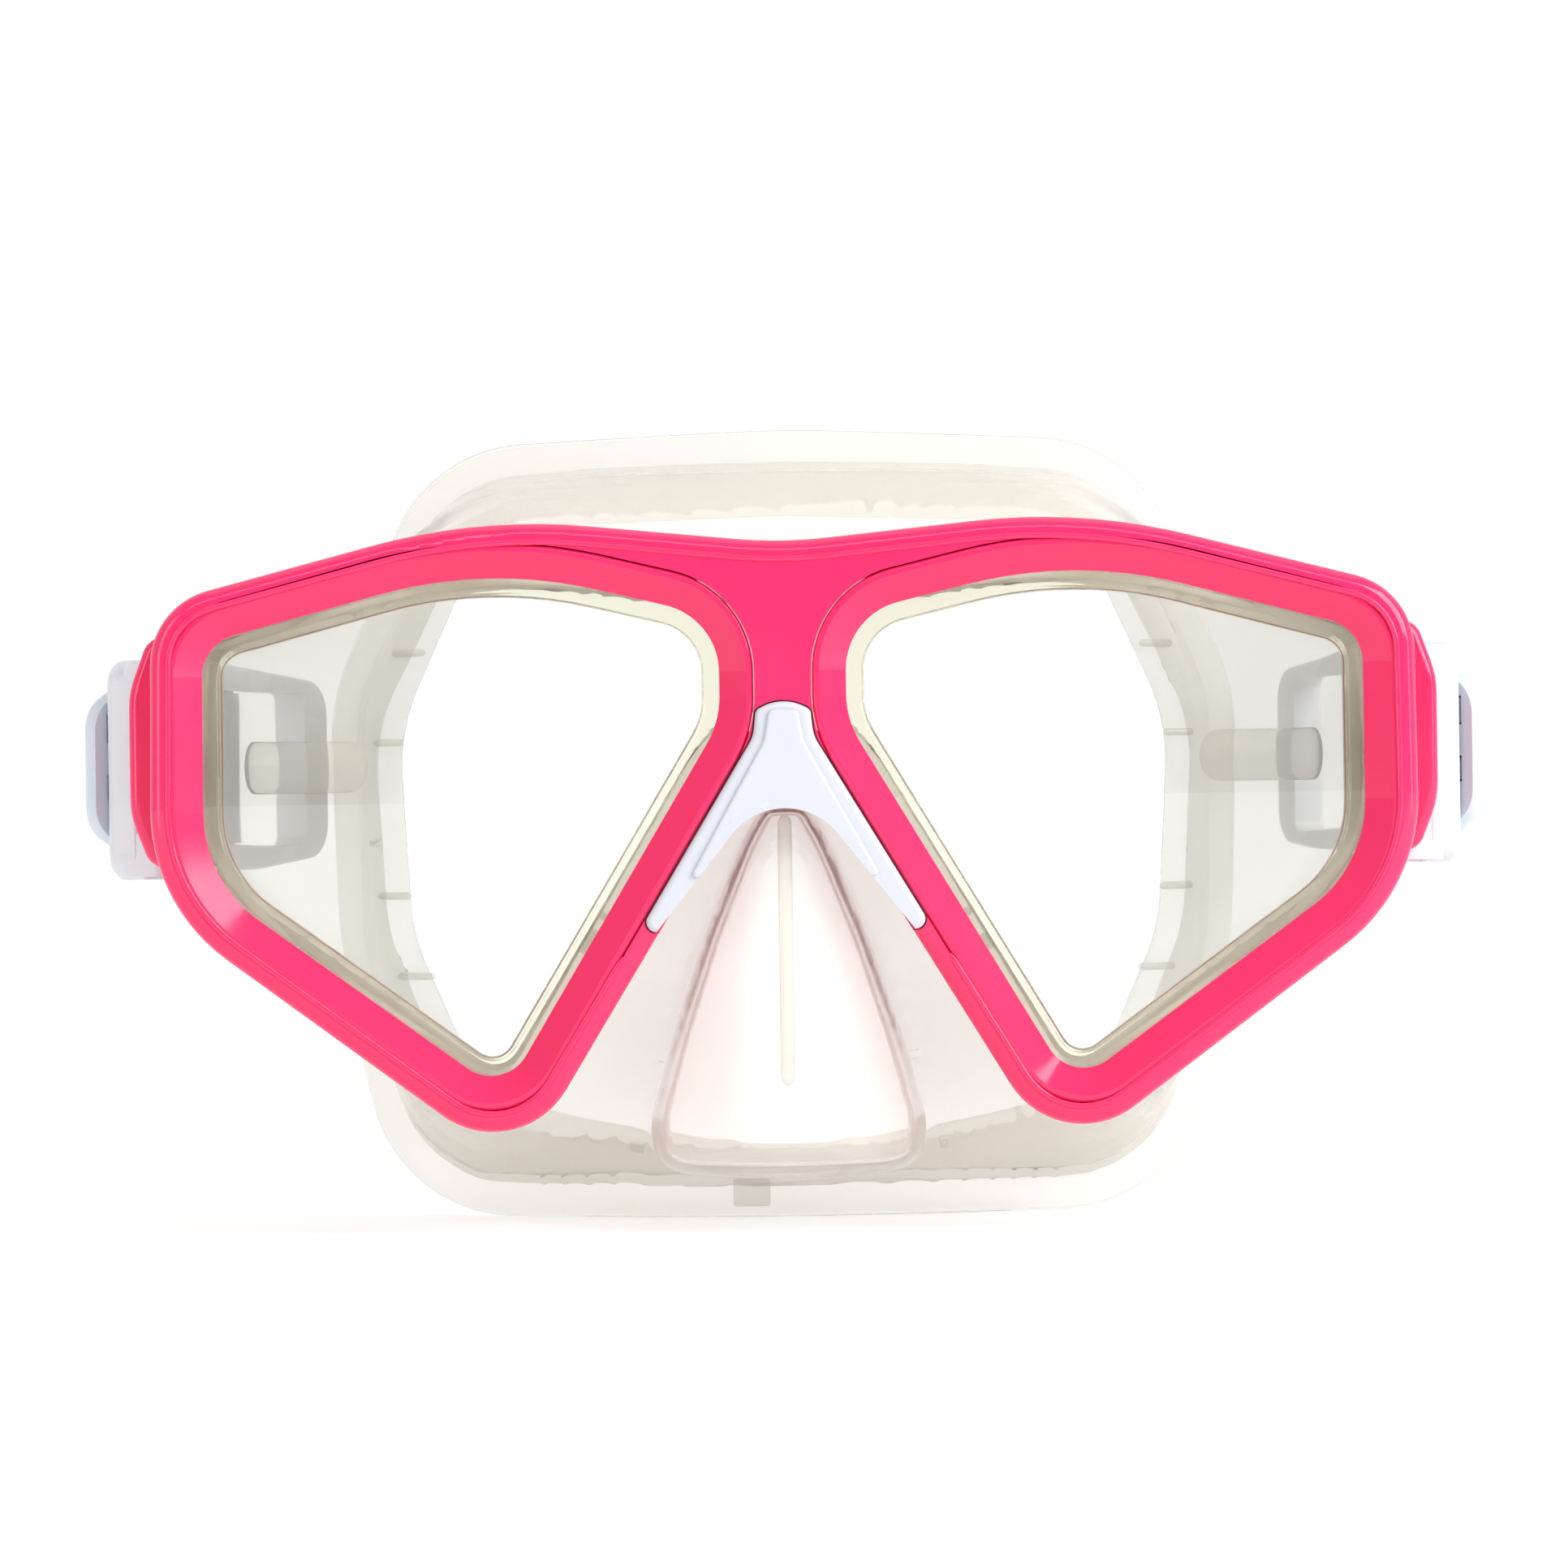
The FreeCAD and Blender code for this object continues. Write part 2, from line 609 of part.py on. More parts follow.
for side, word in ((1, "right"), (-1, "left")):
    pieces = []

    body = new_body(word + "_buckle_body")
    length = size("buckle_length")
    plate = [
        (-knuckle - 0.1, high, 3.5),
        (20.0, high, 12.0),
        (length, high - 2.7, 5.0),
        (length, low + 2.7, 5.0),
        (20.0, low, 12.0),
        (-knuckle - 0.1, low, 3.5),
    ]
    plate_sketch = sketch_in(body, "plate", "YZ_Plane", "%d * sizes.plate_inner" % side, [plate])
    pad(body, plate_sketch, "plate_pad", "sizes.plate_thickness", side < 0)
    rounded(body, "plate_rounding", 1.2, at_plane("X", side * plate_outer))
    rounded(body, "plate_inner_rounding", 0.6, at_plane("X", side * plate_inner))
    for index, (start, end) in enumerate(((barrel_high + 0.3, high - 0.5), (low + 0.5, barrel_low - 0.3))):
        ear = mirrored(side, [
            (-knuckle, knuckle, knuckle - 0.1),
            (4.0, knuckle, 0.4),
            (4.0, -knuckle, 0.4),
            (-knuckle, -knuckle, knuckle - 0.1),
        ])
        ear_sketch = sketch_in(body, "ear_%d" % index, "XY_Plane", "%g" % start, [ear])
        pad(body, ear_sketch, "ear_%d_pad" % index, "%g" % (end - start))
    relief = circle_in(body, "barrel_relief", "XY_Plane", "sizes.barrel_low - 0.3",
                       0, 0, "sizes.barrel_radius + 0.4")
    pocket(body, relief, "barrel_relief_cut", "sizes.barrel_high - sizes.barrel_low + 0.6", True)
    pin_bore = circle_in(body, "hinge_bore", "XY_Plane", "sizes.buckle_low",
                         0, 0, "sizes.hinge_radius + sizes.hinge_fit")
    pocket(body, pin_bore, "hinge_bore_cut", "sizes.buckle_high - sizes.buckle_low", True)
    slot = box_outline(size("slot_start"), size("slot_end"), strap_low, strap_high, 1.5)
    slot_sketch = sketch_in(body, "strap_slot", "YZ_Plane", "%g" % (side * (plate_inner - 1)), [slot])
    pocket(body, slot_sketch, "strap_slot_cut", "sizes.plate_thickness + 2", side > 0)
    roller_bore = circle_in(body, "roller_bore", "XY_Plane", "%g" % (strap_low - 2.5),
                            side * roller_w, size("roller_at"), "sizes.roller_pin_radius + 0.01")
    pocket(body, roller_bore, "roller_bore_cut", "sizes.strap_width + 5", True)
    for index, (start, end) in enumerate(tabs):
        tab = mirrored(side, [
            (plate_outer - 1.0, 1.1, 0.2),
            (lever_pin_w + 1.1, 1.1, 1.0),
            (lever_pin_w + 1.1, -1.1, 1.0),
            (plate_outer - 1.0, -1.1, 0.2),
        ])
        tab_sketch = sketch_in(body, "tab_%d" % index, "XY_Plane", "%g" % start, [tab])
        pad(body, tab_sketch, "tab_%d_pad" % index, "%g" % (end - start))
    tab_bore = circle_in(body, "tab_bore", "XY_Plane", "%g" % (tabs[1][0] - 1),
                         side * lever_pin_w, 0, "sizes.lever_pin_radius + 0.01")
    pocket(body, tab_bore, "tab_bore_cut", "%g" % (tabs[0][1] - tabs[1][0] + 2), True)
    pieces.append(body)

    roller = new_body(word + "_strap_roller")
    roller_low = strap_low + 0.35
    roller_length = size("strap_width") - 0.7
    roller_rod = circle_in(roller, "rod", "XY_Plane", "%g" % roller_low,
                           side * roller_w, size("roller_at"), "sizes.roller_radius")
    pad(roller, roller_rod, "rod_pad", "%g" % roller_length)
    roller_hole = circle_in(roller, "rod_bore", "XY_Plane", "%g" % roller_low,
                            side * roller_w, size("roller_at"),
                            "sizes.roller_pin_radius + sizes.roller_fit")
    pocket(roller, roller_hole, "rod_bore_cut", "%g" % roller_length, True)
    grooves = sketch_in(roller, "grooves", "XY_Plane", "%g" % (roller_low + 0.8), [])
    for step in range(8):
        angle = math.radians(45 * step)
        centre = Vector(side * roller_w + 2.05 * math.cos(angle),
                        size("roller_at") + 2.05 * math.sin(angle), 0)
        grooves.addGeometry(Part.Circle(centre, Vector(0, 0, 1), 0.35), False)
    pocket(roller, grooves, "groove_cut", "%g" % (roller_length - 1.6), True)
    pieces.append(roller)

    roller_pin = new_body(word + "_roller_pin")
    axle = circle_in(roller_pin, "axle", "XY_Plane", "%g" % (strap_low - 2.4),
                     side * roller_w, size("roller_at"), "sizes.roller_pin_radius")
    pad(roller_pin, axle, "axle_pad", "sizes.strap_width + 4.8")
    pieces.append(roller_pin)

    lever = new_body(word + "_release_lever")
    reach = size("lever_length")
    cover = [
        (-3.6, 11.6, 5.0),
        (4.0, 14.6, 8.0),
        (reach, 11.6, 6.0),
        (reach, -5.2, 6.0),
        (4.0, -8.2, 8.0),
        (-3.6, -5.2, 5.0),
    ]
    cover_sketch = sketch_in(lever, "cover", "YZ_Plane", "%g" % (side * lever_inner), [cover])
    pad(lever, cover_sketch, "cover_pad", "sizes.lever_thickness", side < 0)
    rounded(lever, "cover_rounding", 2.6, at_plane("X", side * lever_outer))
    tooth = mirrored(side, box_outline(lever_inner - 1.3, lever_inner + 0.5, 15.6, 17.4, 0.4))
    tooth_sketch = sketch_in(lever, "tooth", "XY_Plane", "%g" % (strap_low + 1.2), [tooth])
    pad(lever, tooth_sketch, "tooth_pad", "%g" % (size("strap_width") - 4.0))
    heel = mirrored(side, [
        (lever_inner - 0.5, -0.3, 0.1),
        (lever_inner + 1.3, -4.2, 0.1),
        (lever_inner - 0.5, -4.2, 0.1),
    ])
    heel_sketch = sketch_in(lever, "heel", "XY_Plane", "-10", [heel])
    pocket(lever, heel_sketch, "heel_cut", "30", True)
    for index, (start, end) in enumerate(tabs):
        room = mirrored(side, box_outline(lever_inner - 0.5, lever_pin_w + 1.4, -1.9, 1.6, 0.2))
        room_sketch = sketch_in(lever, "tab_room_%d" % index, "XY_Plane", "%g" % (start - 0.3), [room])
        pocket(lever, room_sketch, "tab_room_%d_cut" % index, "%g" % (end - start + 0.6), True)
    lever_bore = circle_in(lever, "lever_bore", "XY_Plane", "-4.2",
                           side * lever_pin_w, 0, "sizes.lever_pin_radius + sizes.lever_fit")
    pocket(lever, lever_bore, "lever_bore_cut", "16.6", True)
    pieces.append(lever)

    lever_pin = new_body(word + "_lever_pin")
    lever_axle = circle_in(lever_pin, "axle", "XY_Plane", "-4.1",
                           side * lever_pin_w, 0, "sizes.lever_pin_radius")
    pad(lever_pin, lever_axle, "axle_pad", "16.4")
    pieces.append(lever_pin)

    for piece in pieces:
        turned = Rotation(Vector(0, 0, 1), side * size(word + "_rest_angle"))
        piece.Placement = Placement(Vector(side * hinge_x, hinge_y, 0), turned)
    parts.extend(pieces)

    hinge_pin = new_body(word + "_hinge_pin")
    shaft = circle_in(hinge_pin, "shaft", "XY_Plane", "sizes.buckle_low + 0.7",
                      side * hinge_x, hinge_y, "sizes.hinge_radius")
    pad(hinge_pin, shaft, "shaft_pad", "sizes.buckle_high - sizes.buckle_low - 1.4")
    parts.append(hinge_pin)

doc.recompute()

# ---------------------------------------------------------------- common origin, checks, files

bounds = FreeCAD.BoundBox()
for piece in parts:
    for point in piece.Shape.tessellate(0.05)[0]:
        bounds.add(point)
shift = Vector(0, -bounds.Center.y, -bounds.ZMin)
for piece in parts:
    piece.Placement = Placement(shift, Rotation()).multiply(piece.Placement)
doc.recompute()

for item in doc.Objects:
    if "Invalid" in item.State or "Error" in item.State:
        raise RuntimeError("%s did not rebuild" % item.Label)
os.makedirs("parts", exist_ok=True)
for piece in parts:
    shape = piece.Shape
    if shape.isNull() or not shape.isValid() or len(shape.Solids) != 1:
        raise RuntimeError("%s is not one sound solid (%d)" % (piece.Label, len(shape.Solids)))
    shape.exportStep(os.path.join("parts", piece.Label + ".step"))
    box = shape.BoundBox
    print("%-22s x %7.2f %7.2f  y %7.2f %7.2f  z %7.2f %7.2f  volume %9.1f" % (
        piece.Label, box.XMin, box.XMax, box.YMin, box.YMax, box.ZMin, box.ZMax, shape.Volume))
print("moved by", shift)
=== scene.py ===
import math

import bmesh
import bpy
from mathutils import Matrix, Vector


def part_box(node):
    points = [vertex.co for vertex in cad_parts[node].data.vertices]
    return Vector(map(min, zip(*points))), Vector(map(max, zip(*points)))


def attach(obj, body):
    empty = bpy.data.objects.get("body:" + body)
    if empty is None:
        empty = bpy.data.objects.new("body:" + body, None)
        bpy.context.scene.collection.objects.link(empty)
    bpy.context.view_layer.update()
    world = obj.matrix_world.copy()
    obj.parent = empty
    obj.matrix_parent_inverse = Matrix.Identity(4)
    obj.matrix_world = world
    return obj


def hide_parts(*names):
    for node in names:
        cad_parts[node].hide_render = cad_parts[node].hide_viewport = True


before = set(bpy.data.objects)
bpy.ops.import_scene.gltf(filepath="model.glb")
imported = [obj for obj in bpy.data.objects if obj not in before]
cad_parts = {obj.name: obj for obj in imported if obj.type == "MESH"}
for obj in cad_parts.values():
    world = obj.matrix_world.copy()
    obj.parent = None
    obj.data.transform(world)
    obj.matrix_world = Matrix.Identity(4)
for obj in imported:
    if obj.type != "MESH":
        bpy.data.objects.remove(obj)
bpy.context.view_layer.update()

MM = 0.001
PIN_BELOW_EYES = 10.8      # the hinge pins start this far below the eye line
GLASS_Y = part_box("right_lens")[0].y
EYE_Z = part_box("right_hinge_pin")[0].z + PIN_BELOW_EYES * MM
ACROSS = (1, 0, 0)
BACKWARDS = (0, 1, 0)
UPWARDS = (0, 0, 1)


def at(x, y, z):
    """Millimetres from the middle of the glass plane to the frame's metres."""
    return Vector((x * MM, GLASS_Y + y * MM, EYE_Z + z * MM))


# ------------------------------------------------------------------ outlines
# Corners are (across, up, radius), listed clockwise seen from the front.

SMALLEST_RADIUS = 0.3
FINE = 10                  # steps in each arc and each straight run of a fine outline


def grown(corners, amount):
    """The outline moved outwards by amount, with its corner radii."""
    count = len(corners)
    lines = []
    for index in range(count):
        start, end = corners[index], corners[(index + 1) % count]
        length = math.hypot(end[0] - start[0], end[1] - start[1])
        across, along = (start[1] - end[1]) / length, (end[0] - start[0]) / length
        lines.append((across, along, across * start[0] + along * start[1] + amount))
    result = []
    for index in range(count):
        one, two = lines[index - 1], lines[index]
        spread = one[0] * two[1] - one[1] * two[0]
        x = (one[2] * two[1] - one[1] * two[2]) / spread
        z = (one[0] * two[2] - one[2] * two[0]) / spread
        radius = corners[index][2] + (amount if spread < 0 else -amount)
        result.append((x, z, max(radius, SMALLEST_RADIUS)))
    return result


def both_sides(half):
    """A half outline and its mirror image as one closed outline."""
    return half + [(-x, z, radius) for x, z, radius in reversed(half) if x > 0]


def flipped(corners):
    """The same outline on the other side of the nose."""
    return [(-x, z, radius) for x, z, radius in reversed(corners)]


def traced(corners, arc_steps=8, side_steps=8):
    """Points along the outline: each corner's arc, then the straight run after it."""
    count = len(corners)
    arcs = []
    for index in range(count):
        here = Vector(corners[index][:2])
        back = (Vector(corners[index - 1][:2]) - here).normalized()
        ahead = (Vector(corners[(index + 1) % count][:2]) - here).normalized()
        half_angle = back.angle(ahead) / 2
        radius = corners[index][2]
        centre = here + (back + ahead).normalized() * (radius / math.sin(half_angle))
        reach = radius / math.tan(half_angle)
        start, end = here + back * reach - centre, here + ahead * reach - centre
        sweep = start.angle_signed(end)
        arcs.append([centre + Matrix.Rotation(-sweep * step / arc_steps, 2) @ start
                     for step in range(arc_steps + 1)])
    points = []
    for index, arc in enumerate(arcs):
        points += arc
        following = arcs[(index + 1) % count][0]
        points += [arc[-1].lerp(following, step / side_steps) for step in range(1, side_steps)]
    return points


# The outer edge of the pink front frame.
FRAME = both_sides([
    (0.0, 31.2, 60.0),
    (39.03, 35.1, 80.0),
    (81.6, 24.1, 10.0),
    (82.1, -14.5, 24.0),
    (35.0, -49.5, 11.0),
    (0.0, 7.85, 6.4),
])
# The clear opening in front of the right lens.
WINDOW = [
    (8.2, 21.7, 9.0),
    (38.13, 28.9, 57.0),
    (75.1, 19.1, 5.6),
    (75.2, -11.6, 17.0),
    (36.82, -39.6, 5.2),
    (8.2, 8.2, 12.0),
]
WINDOWS = {"right": WINDOW, "left": flipped(WINDOW)}


# ------------------------------------------------------------------ mesh helpers

def deselect():
    bpy.ops.object.select_all(action="DESELECT")


def select_only(piece):
    deselect()
    bpy.context.view_layer.objects.active = piece
    piece.select_set(True)


def face_outwards(piece):
    shape = bmesh.new()
    shape.from_mesh(piece.data)
    bmesh.ops.recalc_face_normals(shape, faces=shape.faces)
    shape.to_mesh(piece.data)
    shape.free()


def piece_from(name, rings, faces):
    mesh = bpy.data.meshes.new(name)
    mesh.from_pydata([tuple(point) for ring in rings for point in ring], [], faces)
    mesh.validate()
    piece = bpy.data.objects.new(name, mesh)
    bpy.context.collection.objects.link(piece)
    face_outwards(piece)
    return piece


def stitched(low, high, count):
    """The four-sided faces between two rings of count points that start at low and high."""
    faces = []
    for step in range(count):
        after = (step + 1) % count
        faces.append((low + step, low + after, high + after, high + step))
    return faces


def loft(name, rings):
    """A closed solid through rings of equally many points."""
    count = len(rings[0])
    last = (len(rings) - 1) * count
    faces = []
    for level in range(len(rings) - 1):
        faces += stitched(level * count, (level + 1) * count, count)
    faces.append(tuple(reversed(range(count))))
    faces.append(tuple(range(last, last + count)))
    return piece_from(name, rings, faces)


def band(name, outer, inner, profile, depth):
    """A closed ring between two outlines; profile gives (share of the way in, lift)."""
    rings = []
    for share, lift in profile:
        spots = [out.lerp(into, share) for out, into in zip(outer, inner)]
        rings.append([at(spot.x, depth(spot.x, share) + lift, spot.y) for spot in spots])
    count = len(rings[0])
    faces = []
    for level in range(len(rings)):
        faces += stitched(level * count, (level + 1) % len(rings) * count, count)
    return piece_from(name, rings, faces)


def prism(name, corners, front, back):
    return loft(name, [[at(p.x, y, p.y) for p in traced(corners)] for y in (front, back)])


def bar(name, path, wide_way, half_width, half_height, round_end=0.12, steps=24):
    """A flat bar with round ends along a path; wide_way is the direction of its width."""
    sides = 16
    thinnest_end = 0.05
    wide = Vector(wide_way)
    rings = []
    for step in range(steps + 1):
        t = 0.5 - 0.5 * math.cos(math.pi * step / steps)
        place = t * (len(path) - 1)
        index = min(int(place), len(path) - 2)
        start, end = Vector(path[index]), Vector(path[index + 1])
        spot = start.lerp(end, place - index)
        near_end = max(abs(2 * t - 1) - (1 - 2 * round_end), 0.0) / (2 * round_end)
        scale = max(math.sqrt(max(1 - near_end ** 2, 0.0)), thinnest_end)
        up = (end - start).normalized().cross(wide).normalized()
        ring = []
        for side in range(sides):
            angle = 2 * math.pi * side / sides
            push = wide * (half_width * scale * math.cos(angle))
            push += up * (half_height * scale * math.sin(angle))
            ring.append(at(*(spot + push)))
        rings.append(ring)
    return loft(name, rings)


def apply(piece, kind, **values):
    """Adds a modifier and applies it at once."""
    select_only(piece)
    modifier = piece.modifiers.new(kind.lower(), kind)
    for name, value in values.items():
        setattr(modifier, name, value)
    bpy.ops.object.modifier_apply(modifier=modifier.name)


def joined(pieces):
    deselect()
    for piece in pieces:
        piece.select_set(True)
    bpy.context.view_layer.objects.active = pieces[0]
    bpy.ops.object.join()
    return pieces[0]


def smooth_faces(piece, angle):
    """Smooth shading, with edges sharper than the angle left crisp."""
    select_only(piece)
    bpy.ops.object.shade_smooth_by_angle(angle=math.radians(angle))


def within(point, edge):
    """Whether a point lies inside an upright outline."""
    inside = False
    for one, two in zip(edge, edge[1:] + edge[:1]):
        if (one.z > point.z) != (two.z > point.z):
            inside ^= point.x < one.x + (point.z - one.z) / (two.z - one.z) * (two.x - one.x)
    return inside


def nearest(point, edge):
    """How far the closest place on an upright outline is, and where it is."""
    best = None
    for one, two in zip(edge, edge[1:] + edge[:1]):
        along_x, along_z = two.x - one.x, two.z - one.z
        length = max(along_x ** 2 + along_z ** 2, 1e-12)
        share = ((point.x - one.x) * along_x + (point.z - one.z) * along_z) / length
        share = min(max(share, 0.0), 1.0)
        x, z = one.x + along_x * share, one.z + along_z * share
        gap = math.hypot(point.x - x, point.z - z)
        if best is None or gap < best[0]:
            best = (gap, x, z)
    return best


def opened(piece, corners, front, back):
    """Takes away the faces inside an outline, between two depths, and leaves a clean border."""
    pull = 1.5 * MM
    edge = [at(p.x, 0, p.y) for p in traced(corners)]
    near, far = at(0, front, 0).y, at(0, back, 0).y
    shape = bmesh.new()
    shape.from_mesh(piece.data)
    gone = []
    for face in shape.faces:
        middle = face.calc_center_median()
        if near < middle.y < far and within(middle, edge):
            gone.append(face)
    bmesh.ops.delete(shape, geom=gone, context="FACES")
    for vertex in shape.verts:
        if vertex.is_boundary and near < vertex.co.y < far:
            gap, x, z = nearest(vertex.co, edge)
            if gap < pull:
                vertex.co.x, vertex.co.z = x, z
    shape.to_mesh(piece.data)
    shape.free()


# ------------------------------------------------------------------ skirt

# The free edge of the sealing lip, seen from the front.
SEAL = both_sides([
    (0.0, 47.9, 200.0),
    (48.0, 46.2, 20.0),
    (62.6, 12.0, 30.0),
    (61.6, -24.0, 50.0),
    (53.5, -58.2, 20.0),
    (0.0, -58.4, 200.0),
])
# The outside of the wall half way between the frame and the face.
MIDDLE = both_sides([
    (0.0, 37.0, 90.0),
    (43.0, 38.0, 30.0),
    (71.5, 17.0, 18.0),
    (70.5, -17.0, 30.0),
    (42.0, -49.5, 14.0),
    (0.0, -30.0, 26.0),
])
# The hole in the lip that the face closes.
LIP_OPENING = both_sides([
    (0.0, 36.4, 120.0),
    (40.0, 35.2, 16.0),
    (52.6, 8.0, 26.0),
    (51.0, -20.0, 24.0),
    (41.0, -42.5, 10.0),
    (0.0, -50.0, 60.0),
])
# The hole in the back of the wall, a little wider than the one in the lip.
MOUTH = both_sides([
    (0.0, 39.0, 120.0),
    (41.0, 38.0, 16.0),
    (56.0, 8.0, 26.0),
    (54.5, -20.0, 24.0),
    (44.0, -45.0, 10.0),
    (0.0, -53.0, 60.0),
])
MOUTH_DEPTHS = (38.0, 90.0)
SIGHT_DEPTHS = (-10.0, 9.0)
SIGHT_ROOM = 0.6           # the wall's front openings are this much wider than the windows
NECK_INSET = 6.2           # from the frame's edge in to the wall where it leaves the frame
LIP_OVERHANG = 3.6         # the lip reaches this far beyond the wall
LIP_CURL = 1.6
FACE_DEPTH = 45.0          # behind the glass, in the middle
FACE_BOW = 20.0            # the face lies this much further back at the temples
FACE_HALF = 62.0           # from the middle to the temples
WALL = 1.8
VOXEL = 0.95
SMOOTHING_PASSES = 26


def bow(across, share=1.0):
    """How far the face has curved back at this distance from the middle."""
    return share * FACE_BOW * (across / FACE_HALF) ** 2


def face_depth(across, share=1.0):
    """How far behind the glass the face is; the free edge of the lip curls forwards."""
    return FACE_DEPTH + bow(across) - LIP_CURL * (1 - share) ** 2


def eased(start, end, start_slope, end_slope, t):
    """A smooth curve from start to end with the given slopes there."""
    return (start * (2 * t ** 3 - 3 * t ** 2 + 1) + start_slope * (t ** 3 - 2 * t ** 2 + t)
            + end * (3 * t ** 2 - 2 * t ** 3) + end_slope * (t ** 3 - t ** 2))


def wall_rings():
    """The outside of the wall: straight inside the frame, then a swell that ends at the lip."""
    neck = traced(grown(FRAME, -NECK_INSET))
    middle = traced(MIDDLE)
    root = traced(grown(SEAL, -LIP_OVERHANG))
    # depth, outline, share of the face's bow
    keys = [(4.0, neck, 0.0), (9.0, neck, 0.0), (12.0, neck, 0.02), (26.0, middle, 0.35), (44.5, root, 1.0)]
    spans = len(keys) - 1
    rings = []
    for index in range(spans):
        around = [keys[max(index - 1, 0)], keys[index], keys[index + 1], keys[min(index + 2, spans)]]
        steps = 10 if index >= 2 else 2
        for step in range(steps + (index == spans - 1)):
            ring = []
            for spot in range(len(neck)):
                a, b, c, d = [Vector((line[spot].x, depth + bow(line[spot].x, share), line[spot].y))
                              for depth, line, share in around]
                slope_b = (c - a) * 0.5 if index >= 2 else (c - b)
                slope_c = (d - b) * 0.5 if index >= 1 else (c - b)
                ring.append(at(*eased(b, c, slope_b, slope_c, step / steps)))
            rings.append(ring)
    return rings


def nose_rings():
    """The nose pocket, in level slices from its top to its floor."""
    # height, half width, depth of the front, depth of the back
    rows = [
        (-2.0, 3.0, 3.5, 20.0),
        (-8.0, 6.0, 0.8, 26.0),
        (-20.0, 10.8, -0.8, 33.0),
        (-34.0, 15.4, -2.2, 38.0),
        (-44.0, 18.2, -2.6, 42.0),
        (-48.0, 18.0, -1.2, 42.0),
        (-50.4, 16.6, 1.6, 42.0),
        (-51.4, 14.0, 5.0, 42.0),
    ]
    back_radius = 0.6
    rings = []
    for up, half, front, back in rows:
        cheek = -front - half * 0.75
        corners = [
            (-half, -back, back_radius),
            (-half, cheek, half * 0.5),
            (-half * 0.42, -front, half * 0.3),
            (half * 0.42, -front, half * 0.3),
            (half, cheek, half * 0.5),
            (half, -back, back_radius),
        ]
        rings.append([at(p.x, -p.y, up) for p in traced(corners)])
    return rings


def lip():
    """The sealing lip: a thin band with round edges that lies on the face."""
    profile = [(0.0, 0.0), (0.01, -0.3), (0.03, -0.5), (0.06, -0.6), (0.5, -0.85), (0.94, -0.6),
               (0.97, -0.5), (0.99, -0.3), (1.0, 0.0), (0.99, 0.3), (0.97, 0.46), (0.94, 0.52),
               (0.5, 0.55), (0.06, 0.52), (0.03, 0.46), (0.01, 0.3)]
    outer = traced(SEAL, FINE, FINE)
    inner = traced(LIP_OPENING, FINE, FINE)
    return band("lip", outer, inner, profile, face_depth)


def mouldings():
    """Finger ribs on the side walls, short ribs on the lip, a ridge on the nose, a mould tab."""
    finger = [(71.6, 27.0), (70.2, 33.0), (67.9, 39.5), (64.6, 46.0), (60.6, 52.0), (57.0, 57.5)]
    finger_height = 3.1
    # height, start and end across
    lip_ribs = [(18.6, 48.8, 53.4), (6.4, 52.0, 56.2), (-14.6, 51.2, 55.8), (-25.6, 48.0, 53.2)]
    rib_lift = 1.2
    pieces = []
    for side in (1, -1):
        path = [(side * x, y, finger_height) for x, y in finger]
        pieces.append(bar("finger", path, UPWARDS, 3.5, 0.9))
        for up, start, end in lip_ribs:
            path = [(side * x, face_depth(x) - rib_lift, up) for x in (start, (start + end) / 2, end)]
            pieces.append(bar("rib", path, UPWARDS, 0.5, 0.5))
    ridge = [(0, 2.6, -4.0), (0, 1.1, -8.0), (0, 0.0, -14.0), (0, -0.6, -20.0), (0, -1.3, -27.0),
             (0, -1.9, -34.0), (0, -2.1, -39.0)]
    pieces.append(bar("ridge", ridge, ACROSS, 0.9, 0.7, round_end=0.05))
    tab = [(-7.6, -53.2, 0.5), (-2.6, -53.2, 0.5), (-2.6, -57.0, 0.5), (-7.6, -57.0, 0.5)]
    pieces.append(prism("tab", tab, 43.4, 44.6))
    return pieces


wall = joined([loft("outside", wall_rings()), loft("nose", nose_rings())])
apply(wall, "REMESH", mode="VOXEL", voxel_size=VOXEL * MM)
apply(wall, "SMOOTH", factor=0.5, iterations=SMOOTHING_PASSES)
opened(wall, MOUTH, *MOUTH_DEPTHS)
for window in WINDOWS.values():
    opened(wall, grown(window, SIGHT_ROOM), *SIGHT_DEPTHS)
apply(wall, "SOLIDIFY", thickness=WALL * MM, offset=-1.0)
face_outwards(wall)
wall.name = "skirt_shell"
skirt = joined([wall, lip()] + mouldings())
smooth_faces(skirt, 50)
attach(skirt, "mask")
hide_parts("skirt")


# ------------------------------------------------------------------ rims that the glass lies on

# Each lens lies on a softer yellowish rim, which shows as a band inside the pink edge.
SEAT_OUTSET = 1.2
SEAT_INSET = 2.4
SEAT_PROFILE = [(0.0, 4.4), (0.6, 4.4), (0.82, 4.45), (0.9, 4.75), (0.97, 4.5), (1.0, 4.9),
                (0.985, 6.3), (0.9, 6.8), (0.5, 6.9), (0.0, 6.9)]


def level_depth(across, share):
    return 0.0


seats = []
for word, window in WINDOWS.items():
    outer = traced(grown(window, SEAT_OUTSET), FINE, FINE)
    inner = traced(grown(window, -SEAT_INSET), FINE, FINE)
    seat = band(word + "_lens_seat", outer, inner, SEAT_PROFILE, level_depth)
    smooth_faces(seat, 35)
    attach(seat, "mask")
    seats.append(seat)


# ------------------------------------------------------------------ bead round the front frame

BEAD_INSET = 2.4
BEAD_DEPTH = -3.98
CLIP_HALF = 20.5           # the bead stops on both sides of the nose bridge clip
CLIP_TOP = 10.0

